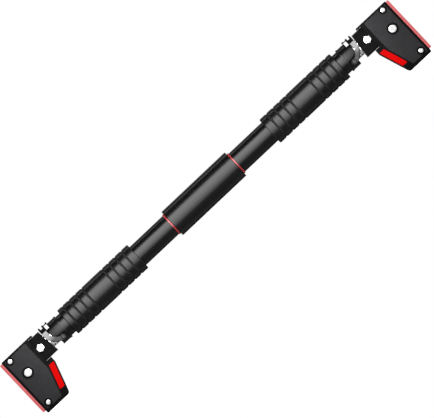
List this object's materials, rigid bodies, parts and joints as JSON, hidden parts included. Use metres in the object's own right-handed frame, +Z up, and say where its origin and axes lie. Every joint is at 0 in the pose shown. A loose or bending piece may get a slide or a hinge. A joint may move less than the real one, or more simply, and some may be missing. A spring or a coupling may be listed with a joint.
{
  "type": "doorway pull up bar",
  "caption": "Doorway pull up bar: grooved foam grips, centre sleeve, threaded screw-out ends with catches, and wall brackets with rubber pads.",
  "frame": {"origin": "under the middle of the bar, on the plane of the brackets' lower faces", "axes": "+X along the bar, +Z up, -Y towards the front"},
  "size_m": [0.76, 0.0508, 0.0979],
  "materials": {
    "black_tube": "satin black powder coat",
    "sleeve_black": "satin moulded black",
    "trim_red": "gloss red",
    "foam_black": "matte black foam",
    "collar_black": "satin black",
    "steel": "plain",
    "chrome": "polished",
    "neck_black": "satin black",
    "housing_black": "satin black",
    "plate_grey": "satin dark grey",
    "insert_red": "bright red",
    "pad_red": "light red rubber",
    "bolt_bright": "bright plated",
    "washer_black": "black",
    "thumb_black": "moulded black"
  },
  "bodies": {
    "bar": {"centre_coupler": "steel", "coupler_rivets": "steel", "centre_sleeve": "sleeve_black", "tube_left": "black_tube", "trim_ring_left": "trim_red", "grip_left": "foam_black", "collar_left": "collar_black", "bail_pins_left": "chrome", "rod_nut_left": "steel", "nut_screws_left": "steel", "tube_right": "black_tube", "trim_ring_right": "trim_red", "grip_right": "foam_black", "collar_right": "collar_black", "bail_pins_right": "chrome", "rod_nut_right": "steel", "nut_screws_right": "steel"},
    "key_left": {"guide_washer_left": "steel"},
    "bracket_left": {"screw_rod_left": "chrome", "rod_stop_left": "steel", "neck_left": "neck_black", "neck_bolt_left": "bolt_bright", "neck_nut_left": "bolt_bright", "bracket_housing_left": "housing_black", "front_plate_left": "plate_grey", "back_plate_left": "plate_grey", "red_insert_left": "insert_red", "wall_pad_left": "pad_red", "centre_bolt_left": "bolt_bright", "centre_nut_left": "bolt_bright", "corner_screws_left": "bolt_bright", "corner_nuts_left": "bolt_bright", "screw_washers_left": "washer_black"},
    "bail_left": {"bail_strap_left": "chrome", "bail_thumb_left": "thumb_black"},
    "key_right": {"guide_washer_right": "steel"},
    "bracket_right": {"screw_rod_right": "chrome", "rod_stop_right": "steel", "neck_right": "neck_black", "neck_bolt_right": "bolt_bright", "neck_nut_right": "bolt_bright", "bracket_housing_right": "housing_black", "front_plate_right": "plate_grey", "back_plate_right": "plate_grey", "red_insert_right": "insert_red", "wall_pad_right": "pad_red", "centre_bolt_right": "bolt_bright", "centre_nut_right": "bolt_bright", "corner_screws_right": "bolt_bright", "corner_nuts_right": "bolt_bright", "screw_washers_right": "washer_black"},
    "bail_right": {"bail_strap_right": "chrome", "bail_thumb_right": "thumb_black"}
  },
  "joints": [
    {"name": "screw_turn_left", "type": "hinge", "parent": "bar", "child": "key_left", "pos_m": [-0.2469, 0, 0.0752], "axis": [1, 0, 0], "range_deg": [0, 5760]},
    {"name": "bracket_travel_left", "type": "slide", "parent": "key_left", "child": "bracket_left", "axis": [-1, 0, 0], "range_m": [0, 0.096]},
    {"name": "bail_lift_left", "type": "hinge", "parent": "bar", "child": "bail_left", "pos_m": [-0.2853, 0, 0.0649], "axis": [0, 1, 0], "range_deg": [-2, 11]},
    {"name": "screw_turn_right", "type": "hinge", "parent": "bar", "child": "key_right", "pos_m": [0.2469, 0, 0.0752], "axis": [1, 0, 0], "range_deg": [0, 5760]},
    {"name": "bracket_travel_right", "type": "slide", "parent": "key_right", "child": "bracket_right", "axis": [1, 0, 0], "range_m": [0, 0.096]},
    {"name": "bail_lift_right", "type": "hinge", "parent": "bar", "child": "bail_right", "pos_m": [0.2853, 0, 0.0649], "axis": [0, -1, 0], "range_deg": [-2, 11]}
  ],
  "couplings": [
    {"joint": "bracket_travel_left", "follows": "screw_turn_left", "m_per_rad": 0.00095493},
    {"joint": "bracket_travel_right", "follows": "screw_turn_right", "m_per_rad": 0.00095493}
  ]
}
